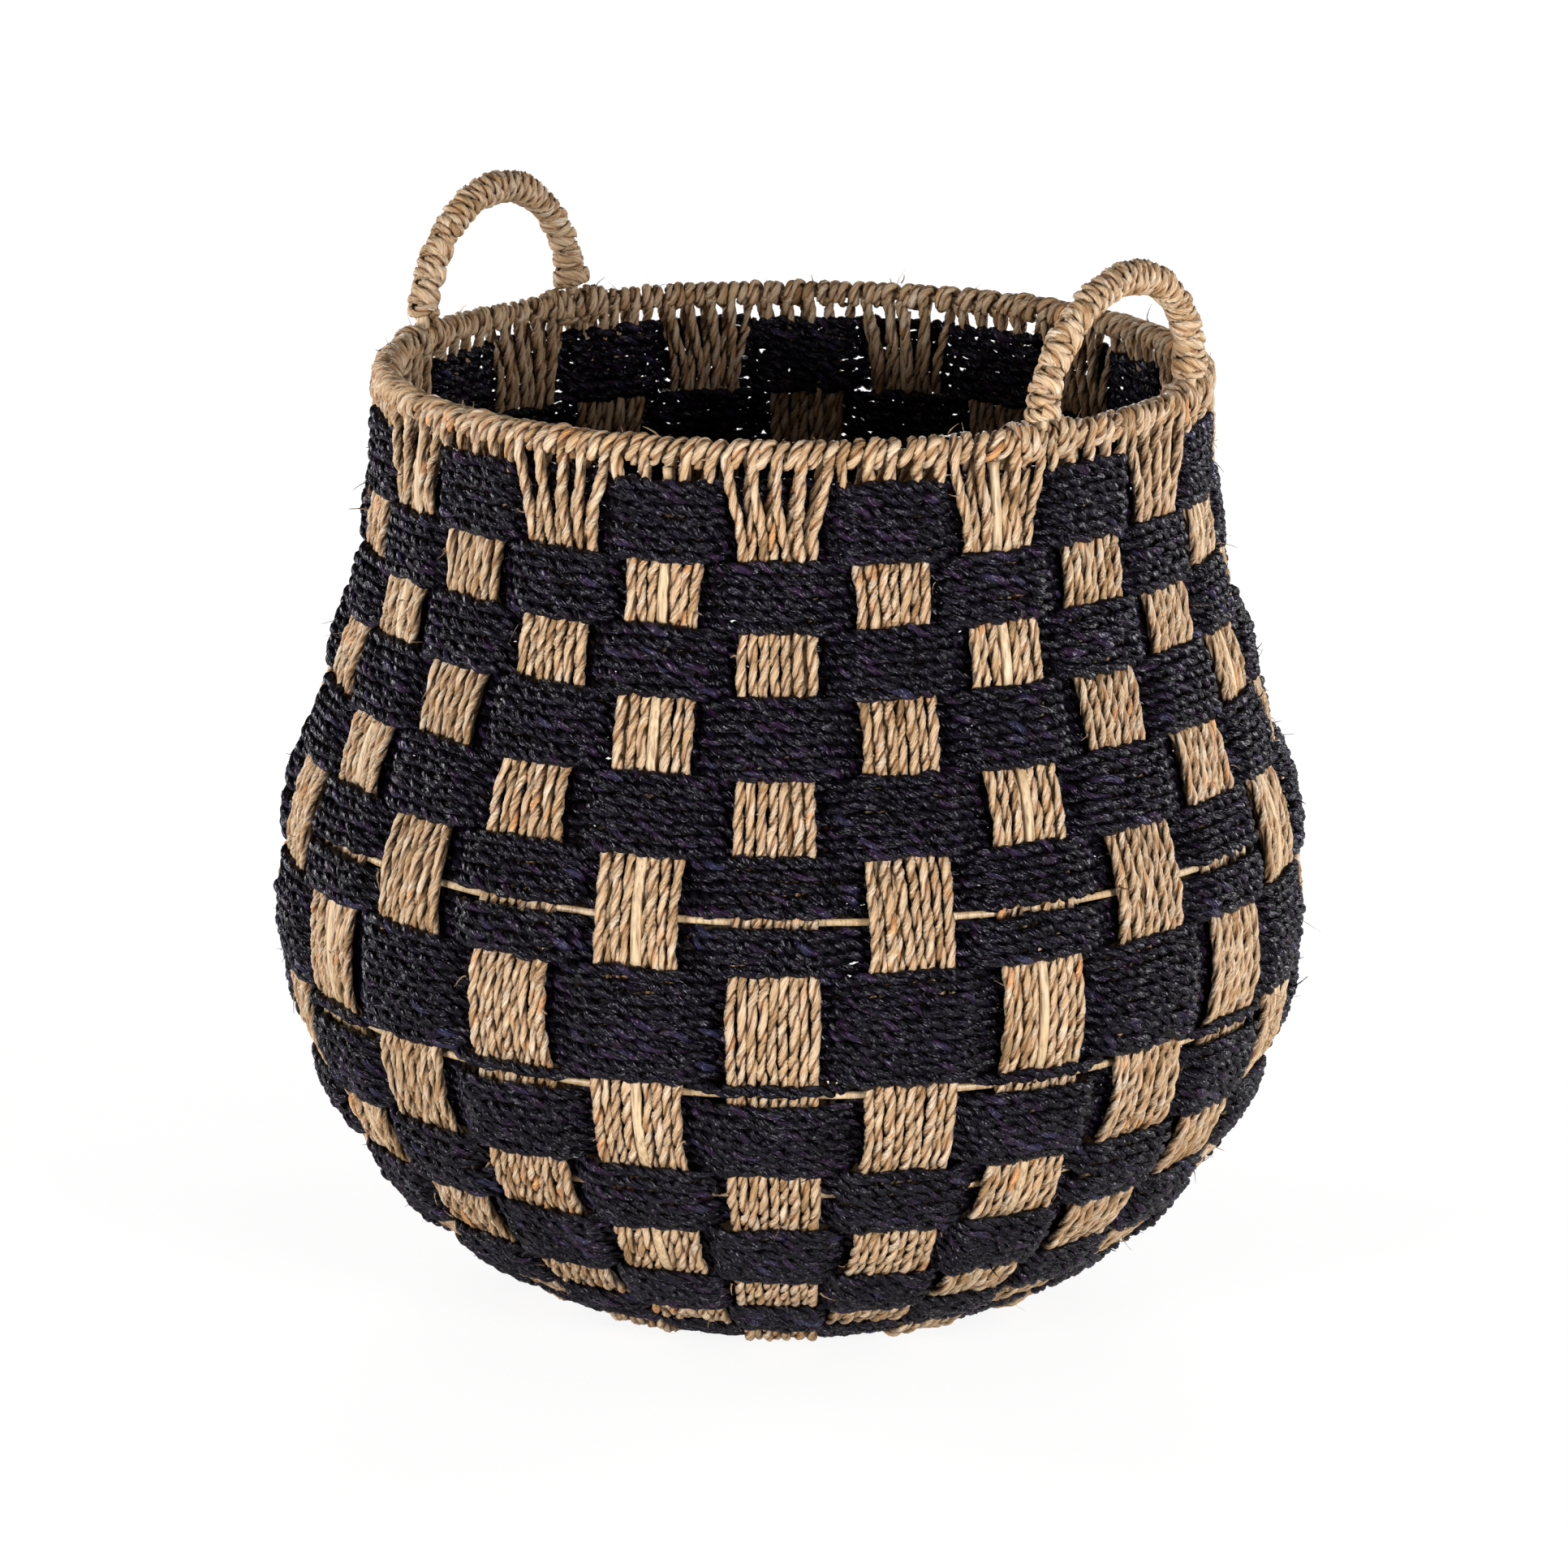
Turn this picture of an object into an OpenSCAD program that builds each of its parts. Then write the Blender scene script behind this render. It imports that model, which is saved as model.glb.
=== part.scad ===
// Round-bellied storage basket woven from seagrass cord.
// Flat bundles of natural cord stand in the wall as stakes. Bands of black cord go over and
// under them and change sides from one band to the next, which gives the check. Cane ribs and
// cane hoops stiffen the wall. The stake cords turn over a hoop at the rim, and two wrapped
// arches stand on it as handles. Plain-woven strips close the base.
// The origin is the middle of the base, +Z is up and the handles are on the X axis.

/* [Rim] */
// Radius of the rim hoop, to the middle of its cane
rim_r = 169; // [160:1:178]
// Diameter of the rim hoop's cane
rim_hoop_d = 3.2; // [3:0.1:4.5]
// Bare height of the stakes between the rim and the first band
rim_gap = 10; // [8:0.5:14]

/* [Wall profile] */
// Inward lean of the cords as they leave the rim, in degrees from upright
flare_angle = 18; // [14:1:22]
// Radius of the bend that sets them upright
flare_r = 45; // [38:1:52]
// Radius of the hollow bend at the neck
neck_r = 308; // [280:1:340]
// Slope of the shoulder, in degrees from upright
shoulder_angle = 17.8; // [16:0.2:20]
// Length of the straight shoulder
shoulder_len = 57; // [50:1:64]
// Radius of the belly's bend
belly_r = 183; // [170:1:196]
// Inward slope at the bottom of the belly, in degrees from upright
belly_angle = 40.7; // [37:0.1:44]
// Radius of the bend between the belly and the base
heel_r = 153; // [140:1:166]

/* [Cords and cane] */
// Diameter of a natural stake cord, which is also the thickness of a stake
cord_d = 4.2; // [3.9:0.05:4.5]
// Space between the turns of neighbouring cords on the rim
cord_gap = 0.25; // [0.2:0.05:0.5]
// Diameter of a black weaving cord
weft_d = 4.2; // [3.9:0.05:4.4]
// Space between neighbouring rounds of weaving cord
weft_gap = 0.3; // [0.25:0.05:0.45]
// Width of the upright cane ribs
rib_w = 4.4; // [3.6:0.1:5.2]
// Thickness of the upright cane ribs
rib_t = 3.8; // [3.2:0.1:4.2]
// Thickness of the cane hoops inside the wall
hoop_d = 3; // [2.6:0.05:3.8]
// Space left where one piece lies on another
seat_gap = 0.3; // [0.25:0.05:0.5]

/* [Weave] */
// Strips each way in the base, each of which gives two stakes
strips = 6; // [5:1:7]
// Width of a stake where the wall has room for all its cords side by side
stake_w = 40; // [34:0.5:44]
// Least room for the weaving cord to cross between two stakes
cross_gap = 8; // [7:0.5:10]
// Rounds of cord in each band, from the rim down
band_rounds = [7, 6, 6, 7, 7, 10, 10, 9, 7, 7, 6, 6, 7]; // [5:1:12]
// Bands that hold a cane hoop, counted from the rim
hoop_bands = [6, 8, 9]; // [1:1:13]
// Rounds above the hoop in each of those bands
hoop_rounds = [5, 1, 3]; // [1:1:5]
// Stakes from one cane rib to the next
rib_every = 3; // [2:1:6]
// Direction of the first stake, in degrees from the handles' axis
first_stake_angle = 5; // [0:0.5:15]
// Space between the strips of the base
strip_gap = 2.4; // [1.8:0.1:4]
// Space between the corners of the base's weave and the ring of stake ends
corner_gap = 3; // [2:0.5:6]

/* [Handles] */
// Width of the arch between the middles of its feet
handle_w = 100; // [90:1:110]
// Height of the arch's middle line over the top of the rim
handle_h = 51; // [50:1:60]
// Diameter of the handle's core
handle_core_d = 5; // [4:0.1:6]
// Diameter of the cord wrapped round the core
wrap_d = 3.4; // [3:0.1:3.8]
// Space between the turns of the wrapping
wrap_gap = 0.6; // [0.5:0.05:1]
// Tilt of the turns, in degrees
wrap_angle = 8; // [0:1:10]
// Turns in the second layer at each foot
foot_turns = 3; // [2:1:4]

/* [Hidden] */
cane_color = "BurlyWood";
natural_color = "Tan";
black_color = "#1f1e27";

TALL_BAND_ROUNDS = 8;
CORD_FN = 32;
TURN_FN = 48;
BEND_FN = 180;
HOOP_SIDES = 6;

stakes = 4 * strips;
stake_step = 360 / stakes;
bands = len(band_rounds);
cord_pitch = cord_d + cord_gap;
weft_pitch = weft_d + weft_gap;

// How far the middle of a weaving cord or a hoop stands off the middle of a stake
weft_off = cord_d / 2 + seat_gap + weft_d / 2;
weft_out = weft_off + weft_d / 2;
hoop_off = cord_d / 2 + seat_gap + hoop_d / 2;

function total(v, n) = n <= 0 ? 0 : v[n - 1] + total(v, n - 1);

// Depth of a band's top edge and of the wall's end, measured along the wall from the rim
function band_top(i) = rim_gap + weft_pitch * total(band_rounds, i);
wall_len = band_top(bands);

// Room for a stake between its neighbours at a radius
function stake_room(r) = min(stake_w, 2 * r * tan(stake_step / 2) - cross_gap);

// The stake cords turn over the rim hoop. They stand side by side in a plane and the hoop is
// round, so the turns leave room for the hoop's curve across one stake.
rim_cords = floor(stake_room(rim_r) / cord_pitch);
rim_edge = (rim_cords - 1) / 2 * cord_pitch;
rim_sag = rim_r - sqrt(rim_r * rim_r - rim_edge * rim_edge);
turn_x = rim_r - rim_sag / 2;
turn_r = rim_hoop_d / 2 + seat_gap + rim_sag / 2 + cord_d / 2;
turn_end_angle = 235;
turn_gap = seat_gap / turn_r * 180 / PI;
rim_out = turn_r + cord_d / 2;

// Wall profile: pieces of [signed bend radius, starting slope, length]. A radius of 0 is
// straight, a negative one has its centre inside the basket. Slopes are from upright.
flare_len = flare_r * flare_angle * PI / 180;
neck_len = neck_r * shoulder_angle * PI / 180;
belly_len = belly_r * (shoulder_angle + belly_angle) * PI / 180;
heel_len = wall_len - flare_len - neck_len - shoulder_len - belly_len;
pieces = [
    [flare_r, -flare_angle, flare_len],
    [neck_r, 0, neck_len],
    [0, shoulder_angle, shoulder_len],
    [-belly_r, shoulder_angle, belly_len],
    [-heel_r, -belly_angle, heel_len]
];

function slope_after(p, d) = p[0] == 0 ? p[1] : p[1] + d / p[0] * 180 / PI;
function move_after(p, d) =
    p[0] == 0
        ? [d * sin(p[1]), -d * cos(p[1])]
        : let (b = slope_after(p, d)) [p[0] * (cos(p[1]) - cos(b)), p[0] * (sin(p[1]) - sin(b))];
function piece_start(i) =
    i == 0
        ? [0, turn_x + turn_r * cos(flare_angle), -turn_r * sin(flare_angle)]
        : let (q = piece_start(i - 1), m = move_after(pieces[i - 1], pieces[i - 1][2]))
            [q[0] + pieces[i - 1][2], q[1] + m[0], q[2] + m[1]];
piece_starts = [for (i = [0:len(pieces) - 1]) piece_start(i)];
function curve(s) =
    let (
        i = max(0, len([for (q = piece_starts) if (q[0] <= s) 1]) - 1),
        q = piece_starts[i],
        m = move_after(pieces[i], s - q[0])
    ) [q[1] + m[0], q[2] + m[1], slope_after(pieces[i], s - q[0])];

// The wall is flat between its stations: the edges of the bands and the middles of tall bands.
// Each station is [depth, radius, height under the rim, slope, half of a stake's width].
depths = [
    0,
    for (i = [0:bands - 1])
        each band_rounds[i] > TALL_BAND_ROUNDS
            ? [band_top(i), (band_top(i) + band_top(i + 1)) / 2]
            : [band_top(i)],
    wall_len
];
stations = [for (s = depths) let (c = curve(s)) [s, c[0], c[1], c[2], stake_room(c[0]) / 2]];
function wall(s) =
    let (
        i = min(len(stations) - 2, max(0, len([for (d = depths) if (d <= s) 1]) - 1)),
        t = (s - depths[i]) / (depths[i + 1] - depths[i])
    ) stations[i] * (1 - t) + stations[i + 1] * t;

// The base strips lie on the ground and the last band just clears it
foot = stations[len(stations) - 1];
foot_z = weft_out * sin(-foot[3]) + seat_gap;
rim_z = foot_z - foot[2];
rim_top = rim_z + rim_out;

function stake_angle(k) = first_stake_angle + k * stake_step;
function has_rib(k) = k % rib_every == 1;
// 1 where the band passes outside the stake, -1 where it passes inside
function side(k, band) = (k + band) % 2 == 0 ? 1 : -1;

// A point of the wall at a station: distance n outside the stake's middle, u to its side
function wall_point(k, w, n, u) =
    let (x = w[1] + n * cos(w[3]), a = stake_angle(k))
        [x * cos(a) - u * sin(a), x * sin(a) + u * cos(a), rim_z + w[2] + n * sin(w[3])];

// The handle is one round arch. Its feet stand on the rim hoop between two of its turns.
leg_angle = asin(handle_w / 2 / rim_r);
handle_x = rim_r * cos(leg_angle);
leg_room = (cord_d + handle_core_d) / 2 + seat_gap;
foot_level = rim_z + rim_hoop_d / 2 + seat_gap;
arch_top = rim_top + handle_h;
arch_drop = ((arch_top - foot_level) - handle_w * handle_w / 4 / (arch_top - foot_level)) / 2;
arch_z = foot_level + arch_drop;
arch_r = arch_top - arch_z;
arch_under = asin(arch_drop / arch_r);
wrap_r = handle_core_d / 2 + seat_gap + wrap_d / 2;
wrap_out = wrap_r + wrap_d / 2;
bind_r = wrap_out + seat_gap + wrap_d / 2;
// Turns of the wrapping are spaced on the inside of the arch, where they are closest
wrap_step = (wrap_d + wrap_gap) / (arch_r - wrap_r) * 180 / PI;
wrap_low = (bind_r + wrap_d / 2) * sin(wrap_angle) + wrap_d / 2 + seat_gap;
wrap_from = asin((rim_top + wrap_low - arch_z) / arch_r);
wrap_turns = floor((180 - 2 * wrap_from) / wrap_step) + 1;

// Distance along the rim from a direction to the nearest handle foot
function rim_to_leg(a) =
    min([for (h = [0, 180]) for (e = [-1, 1])
        let (d = ((a - h - e * leg_angle) % 360 + 540) % 360 - 180) abs(d)]) * rim_r * PI / 180;

// Base: plain weave of flat strips inside the ring of stake ends
strip_end_r = foot[1] - cord_d / 2 * cos(foot[3]) - seat_gap;
strip_corner = strip_end_r - corner_gap;
strip_pitch = (strip_corner * sqrt(2) + strip_gap) / strips;
strip_w = strip_pitch - strip_gap;
strip_mid = cord_d + seat_gap / 2;
strip_rise = (cord_d + seat_gap) / 2;

STAKE_NODES = [for (k = [0:stakes - 1]) str("stake_", k + 1)];
BAND_NODES = [for (i = [0:bands - 1]) str("weft_band_", i + 1)];
RIB_STAKES = [for (k = [0:stakes - 1]) if (has_rib(k)) k];
RIB_NODES = [for (i = [0:len(RIB_STAKES) - 1]) str("cane_rib_", i + 1)];
HOOP_NODES = [for (i = [0:len(hoop_bands) - 1]) str("cane_hoop_", i + 1)];

// A solid through a row of outlines that each have the same number of points
module loft(rings, closed) {
    m = len(rings[0]);
    n = len(rings);
    last = closed ? n - 1 : n - 2;
    quads = [for (i = [0:last]) for (j = [0:m - 1])
        [i * m + j, i * m + (j + 1) % m, (i + 1) % n * m + (j + 1) % m, (i + 1) % n * m + j]];
    sides = [for (q = quads) for (h = [[q[0], q[1], q[2]], [q[0], q[2], q[3]]]) h];
    ends = closed ? [] : [
        for (j = [1:m - 2]) [0, j + 1, j],
        for (j = [1:m - 2]) [(n - 1) * m, (n - 1) * m + j, (n - 1) * m + j + 1]
    ];
    polyhedron([for (r = rings) each r], concat(sides, ends));
}

// A strip of the wall that follows a stake, between two distances to the side of its middle.
// edge(w) gives the two distances at a station of the wall.
module wall_strip(k, thick, edge) {
    loft([for (w = stations) let (u = edge(w)) [
        wall_point(k, w, thick / 2, u[0]),
        wall_point(k, w, thick / 2, u[1]),
        wall_point(k, w, -thick / 2, u[1]),
        wall_point(k, w, -thick / 2, u[0])
    ]], false);
}

// The turn that a stake cord takes over the rim hoop
module rim_turn(u) {
    translate([turn_x, 0, rim_z])
        rotate([90, 0, 0])
            rotate([0, 0, turn_gap - flare_angle])
                rotate_extrude(angle = turn_end_angle + flare_angle - turn_gap, $fn = TURN_FN)
                    translate([turn_r, -u])
                        circle(d = cord_d, $fn = CORD_FN);
}

// A flat bundle of cords from the rim to the base, and the turns of its cords over the rim.
// A cane rib stands in a slot along the middle of some stakes.
module stake(k) {
    slot = rib_w / 2 + cord_gap;
    color(natural_color) {
        if (has_rib(k)) {
            wall_strip(k, cord_d, function (w) [-w[4], -slot]);
            wall_strip(k, cord_d, function (w) [slot, w[4]]);
        } else {
            wall_strip(k, cord_d, function (w) [-w[4], w[4]]);
        }
        rotate([0, 0, stake_angle(k)])
            for (j = [0:rim_cords - 1]) {
                u = (j - (rim_cords - 1) / 2) * cord_pitch;
                if (rim_to_leg(stake_angle(k) + atan(u / rim_r)) > leg_room)
                    rim_turn(u);
            }
    }
}

// An upright cane that stands in the middle of a stake
module cane_rib(k) {
    color(cane_color)
        wall_strip(k, rib_t, function (w) [-rib_w / 2, rib_w / 2]);
}

// A closed ring that passes the stake k at the distance off(k) outside its middle.
// The outline is a list of [depth along the wall, distance from the ring's middle].
module wall_ring(outline, off) {
    loft([for (k = [0:stakes - 1]) for (e = [-1, 1])
        [for (p = outline) let (w = wall(p[0])) wall_point(k, w, off(k) + p[1], e * w[4])]
    ], true);
}

// A run of rounds of weaving cord, from one depth to another
module rounds(band, s_from, s_to) {
    a = s_from + weft_gap / 2;
    b = s_to - weft_gap / 2;
    depth = [a, for (d = depths) if (d > a + weft_gap && d < b - weft_gap) d, b];
    wall_ring(concat(
        [for (d = depth) [d, -weft_d / 2]],
        [for (i = [len(depth) - 1:-1:0]) [depth[i], weft_d / 2]]
    ), function (k) side(k, band) * weft_off);
}

module weft_band(band) {
    top = band_top(band - 1);
    bottom = band_top(band);
    hoop = search(band, hoop_bands);
    color(black_color)
        if (len(hoop) == 0) {
            rounds(band, top, bottom);
        } else {
            slot = top + hoop_rounds[hoop[0]] * weft_pitch;
            rounds(band, top, slot);
            rounds(band, slot + weft_pitch, bottom);
        }
}

// A cane hoop runs round inside all the stakes, in place of one round of its band
module cane_hoop(i) {
    middle = band_top(hoop_bands[i] - 1) + (hoop_rounds[i] + 0.5) * weft_pitch;
    color(cane_color)
        wall_ring([for (j = [0:HOOP_SIDES - 1])
            let (a = j * 360 / HOOP_SIDES) [middle + hoop_d / 2 * cos(a), hoop_d / 2 * sin(a)]
        ], function (k) -hoop_off);
}

module rim_hoop() {
    color(cane_color)
        translate([0, 0, rim_z])
            rotate_extrude($fn = BEND_FN)
                translate([rim_r, 0])
                    circle(d = rim_hoop_d, $fn = CORD_FN);
}

// Turns of cord that cover the rim hoop between the stakes
module rim_wrapping() {
    free = 2 * (rim_r - rim_out) * tan(stake_step / 2) - rim_cords * cord_pitch;
    count = floor(free / (cord_pitch + cord_gap));
    step = (cord_pitch + cord_gap) / (rim_r - rim_out) * 180 / PI;
    color(natural_color)
        for (k = [0:stakes - 1])
            for (i = [0:1:count - 1]) {
                a = stake_angle(k + 0.5) + (i - (count - 1) / 2) * step;
                if (rim_to_leg(a) > leg_room)
                    rotate([0, 0, a])
                        translate([rim_r, 0, rim_z])
                            rotate([90, 0, 0])
                                wrap_turn(turn_r, cord_d);
            }
}

// One turn of a wrapping, about the Z axis
module wrap_turn(r, d) {
    rotate_extrude($fn = TURN_FN)
        translate([r, 0])
            circle(d = d, $fn = CORD_FN);
}

// Heights and edges of a base strip: it goes over one crossing and under the next
module base_strip(i, up) {
    y = (i - (strips - 1) / 2) * strip_pitch;
    y_edges = [y - strip_w / 2, y + strip_w / 2];
    end_x = [for (e = y_edges) sqrt(strip_end_r * strip_end_r - e * e)];
    stops = concat(
        [[-end_x[0], -end_x[1], foot_z - seat_gap / 2]],
        [for (j = [0:strips - 1]) for (e = [-1, 1])
            let (x = (j - (strips - 1) / 2) * strip_pitch + e * strip_w / 2)
                [x, x, strip_mid + ((i + j + up) % 2 == 0 ? 1 : -1) * strip_rise]],
        [[end_x[0], end_x[1], foot_z - seat_gap / 2]]
    );
    loft([for (p = stops) [
        [p[0], y_edges[0], p[2] - cord_d / 2],
        [p[0], y_edges[0], p[2] + cord_d / 2],
        [p[1], y_edges[1], p[2] + cord_d / 2],
        [p[1], y_edges[1], p[2] - cord_d / 2]
    ]], false);
}

module base_strips(crossways) {
    color(natural_color)
        rotate([0, 0, stake_angle(0.5)])
            for (i = [0:strips - 1])
                if (crossways)
                    mirror([1, -1, 0]) base_strip(i, 1);
                else
                    base_strip(i, 0);
}

// Puts a piece of the handle on the left side (-X) or the right side (+X)
module on_side(right) {
    rotate([0, 0, right ? 0 : 180])
        translate([handle_x, 0, 0])
            children();
}

// Arch of the handle
module handle_core(right) {
    color(cane_color)
        on_side(right)
            translate([0, 0, arch_z])
                rotate([90, 0, 90])
                    rotate([0, 0, -arch_under])
                        rotate_extrude(angle = 180 + 2 * arch_under, $fn = BEND_FN)
                            translate([arch_r, 0])
                                circle(d = handle_core_d, $fn = CORD_FN);
}

// One turn round the arch, at an angle along it
module arch_turn(a, r) {
    translate([0, arch_r * cos(a), arch_z + arch_r * sin(a)])
        rotate([a, 0, 0])
            rotate([0, wrap_angle, 0])
                wrap_turn(r, wrap_d);
}

module handle_wrapping(right) {
    spread = (wrap_turns - 1) * wrap_step;
    color(natural_color)
        on_side(right)
            for (i = [0:wrap_turns - 1])
                arch_turn(90 - spread / 2 + i * wrap_step, wrap_r);
}

// Second layer of turns at both feet
module handle_foot_binding(right) {
    spread = (wrap_turns - 1) * wrap_step;
    color(natural_color)
        on_side(right)
            for (e = [-1, 1])
                for (i = [0:foot_turns - 1])
                    arch_turn(90 + e * (spread / 2 - i * wrap_step), bind_r);
}

for (k = [0:stakes - 1])
    stake(k);
for (i = [0:bands - 1])
    weft_band(i + 1);
for (i = [0:len(RIB_STAKES) - 1])
    cane_rib(RIB_STAKES[i]);
for (i = [0:len(hoop_bands) - 1])
    cane_hoop(i);
rim_hoop();
rim_wrapping();
base_strips(false);  // base_strips_lengthways
base_strips(true);  // base_strips_crossways
handle_core(false);  // handle_core_left
handle_wrapping(false);  // handle_wrapping_left
handle_foot_binding(false);  // handle_foot_binding_left
handle_core(true);  // handle_core_right
handle_wrapping(true);  // handle_wrapping_right
handle_foot_binding(true);  // handle_foot_binding_right
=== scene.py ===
"""Seagrass belly basket: twisted cord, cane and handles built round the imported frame.

Sizes in this script are millimetres, and each mesh is made in metres. Depths are distances along
the wall, measured down from the rim hoop. Directions are degrees from the handles' axis (+X).
"""
import math

import bpy
import numpy as np
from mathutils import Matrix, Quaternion, Vector

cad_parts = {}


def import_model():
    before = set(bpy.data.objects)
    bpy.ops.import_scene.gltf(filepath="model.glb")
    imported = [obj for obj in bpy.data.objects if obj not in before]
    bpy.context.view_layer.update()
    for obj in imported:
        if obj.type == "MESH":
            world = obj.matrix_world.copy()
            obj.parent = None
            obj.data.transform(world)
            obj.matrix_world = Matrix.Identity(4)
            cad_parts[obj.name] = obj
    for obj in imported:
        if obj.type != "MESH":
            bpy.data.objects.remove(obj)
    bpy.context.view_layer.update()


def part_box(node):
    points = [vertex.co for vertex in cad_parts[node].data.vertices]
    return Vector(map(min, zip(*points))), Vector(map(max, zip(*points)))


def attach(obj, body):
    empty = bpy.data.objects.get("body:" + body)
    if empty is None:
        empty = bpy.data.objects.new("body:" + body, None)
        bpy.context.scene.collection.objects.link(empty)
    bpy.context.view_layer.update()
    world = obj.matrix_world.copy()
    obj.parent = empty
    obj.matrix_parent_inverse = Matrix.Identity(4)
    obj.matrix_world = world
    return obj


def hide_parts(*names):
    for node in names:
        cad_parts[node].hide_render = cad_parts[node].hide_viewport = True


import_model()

MM = 0.001
TAU = 2 * math.pi

# Seeds of the random numbers, to which a piece adds its own number
SEED = {"rim": 900, "stake": 1000, "rib": 1500, "band": 2000, "hoop": 2500, "handle": 3000,
        "base": 4000, "black_fibres": 5000, "natural_fibres": 5100}

# Rim hoop
RIM_LOW, RIM_HIGH = (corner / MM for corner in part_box("rim_hoop"))
RIM_HOOP_D = RIM_HIGH[2] - RIM_LOW[2]
RIM_R = (RIM_HIGH[0] - RIM_LOW[0] - RIM_HOOP_D) / 2
RIM_Z = (RIM_HIGH[2] + RIM_LOW[2]) / 2

# Wall: where its outline starts, as a radius and a height from the middle of the rim hoop, and its
# arcs: bend radius (0 where straight), slope at the start in degrees from upright, length
WALL_START = (RIM_R + 3.8, -1.35)
WALL = ((45, -18, 14.14), (308, 0, 95.69), (0, 17.8, 57), (-183, 17.8, 186.85), (-153, -40.7, 90))

# Weave: stakes and bands. ROUNDS is how many rounds of cord each band has, from the top
STAKES = 24
STEP = 360 / STAKES
FIRST_STAKE = 5
ROUNDS = (7, 6, 6, 7, 7, 10, 10, 9, 7, 7, 6, 6, 7)
BANDS = range(1, len(ROUNDS) + 1)
ROUND_PITCH = 4.5
TOP_GAP = 10
WALL_END = TOP_GAP + ROUND_PITCH * sum(ROUNDS)

# Waves: lengths of the three that are added, as shares of the wanted one, and what they add up to
WAVE_MIX = np.array([0.6, 1.0, 1.7])
WAVE_SUM = 2.2

# Cords: radius, and length of one full twist
NATURAL_R, NATURAL_LAY = 2.24, 20.5
BLACK_R, BLACK_LAY = 2.75, 16

# Section of a two-ply cord of radius 1: how far out each ply's ellipse stands, and its two radii
NATURAL_PLY = (0.46, 0.54, 0.73)
BLACK_PLY = (0.45, 0.55, 0.68)

# Distance between the rings of a cord, length over which a ply's thickness varies, how far the
# twist wanders in radians, and the range of places where a cord's pattern starts
RING_STEP = 1.5
PLY_WAVE = 16
TWIST_DRIFT = 0.8
PATTERN_RANGE = 400

# Shares of a cord's radius: how high the painted shade on its sides reaches, and over how much more it
# fades
VALLEY_LOW, VALLEY_FADE = 0.05, 0.42

# A ring has two lobes with a crease point at each end. Faces skip the steps between the lobes, and
# a cap skips each lobe's last point
LOBE_POINTS = 4
SIDES = 2 * (LOBE_POINTS + 2)
LOBE_FACES = [j for j in range(SIDES - 1) if j != LOBE_POINTS + 1]
CAP = [j for j in range(SIDES) if j not in (LOBE_POINTS + 1, SIDES - 1)]

# How much of its place in the UV map a face and a cap fill
FACE_FILL = (0.94, 0.98)
CAP_FILL = (0.4, 0.2)

# Stakes: numbers of cords, how far they go on past the last band, and steps along them, which are
# finer in the neck
PLAIN_CORDS, RIBBED_CORDS = 9, 8
TUCK = 9
NECK, NECK_TOP = 60, 4
STAKE_STEP, NECK_STEP = 3, 1.5

# Widths of a stake's bundle at depths along the wall
WIDTH_AT = ((0, 37), (18, 35.5), (40, 35), (60, 33), (130, 34.5), (200, 38.5), (260, 39.5), (330, 37.5),
            (400, 33), (WALL_END, 29.5))

# Shares of the width that a stake's back cords, and the two that come in late, have at the rim.
# The depths at which they grow to full shares, and fade again, are given as a start and a length
BACK_SHARE, BACK_GROWS = 0.3, (12, 40)
LATE_SHARE, LATE_GROWS = 0.2, (150, 80)
LATE_LOSS, LATE_FADES = 0.6, (370, 50)

# Unevenness: heights and lengths of waves, or their numbers in a round or a hoop
WIDTH_WAVE = (0.03, 120)
ASIDE_WAVES, OUT_WAVES = ((0.45, 70), (0.3, 16)), ((0.4, 45), (0.25, 14))
RIB_WAVE = (0.5, 150)
ROUND_OUT_WAVES, ROUND_WAVES = ((0.4, 30), (0.22, 100)), ((0.55, 34), (0.22, 95))
HOOP_WAVE = (0.35, 14)
STRIP_Z_WAVE, STRIP_WAVE = (0.12, 30), (0.4, 50)

# Near the rim a stake's cords come free and spread along it. How deep one lies where it has no
# room, how much deeper a back cord lies, and where each kind leaves the wall, how far aside of its
# place at the rim, and how far out or in
RIM_FREE = (2, 32)
DROP, BACK_DROP = 2.6, 0.6
FRONT_TOP, FRONT_ASIDE = 5, -0.4
BACK_TOP, BACK_ASIDE = 15, 2.5
RIM_LIFT = 1.2
RIM_JITTER = 0.35

# How a stake passes the bands: the length over which it changes sides, how far in it lies under
# one and how much more at the middle, how far out over one, and its bulge over a tall one and over
# the last one, at the foot
SPAN = 3.9
UNDER_IN, UNDER_SAG = 0.7, 0.5
OVER_OUT = 0.6
CROWN, LAST_CROWN, TALL_BAND = 1.7, 4.6, 40

# How far a round of black cord lies inside a stake and outside one, how much further the middle
# rounds of a crossing stand out at the ends and at the belly, and the limit at the foot
ROUND_IN, ROUND_OUT = 4.0, 3.3
END_STAND, BELLY_STAND, FOOT_STAND = 0.9, 2.1, 3.2
BELLY_BANDS = range(3, 12)

# How early a round changes sides, as a share of the step between stakes, how far the outer rounds
# of a crossing spread, and the steps between rings in plain and in tall bands
EARLY = 0.05
LAP = 0.8
ROUND_STEP, TALL_STEP, TALL_ROUNDS = 1.45, 1.6, 9

# Turns over the rim, from and to in degrees: a front cord's, a back cord's end and the one between
# front cords. Then their radius, slant, the share of it past the top, the degrees between points,
# and how dark the painted shade on their sides is
FRONT_TURN, BACK_TURN, SECOND_TURN = (-12, 236), (206, 176), (214, -84)
COIL_R = 4.0
RIM_SLANT = 2.6
SLANT_INSIDE = 0.4
COIL_STEP = 10
RIM_SHADE = 0.6

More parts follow.
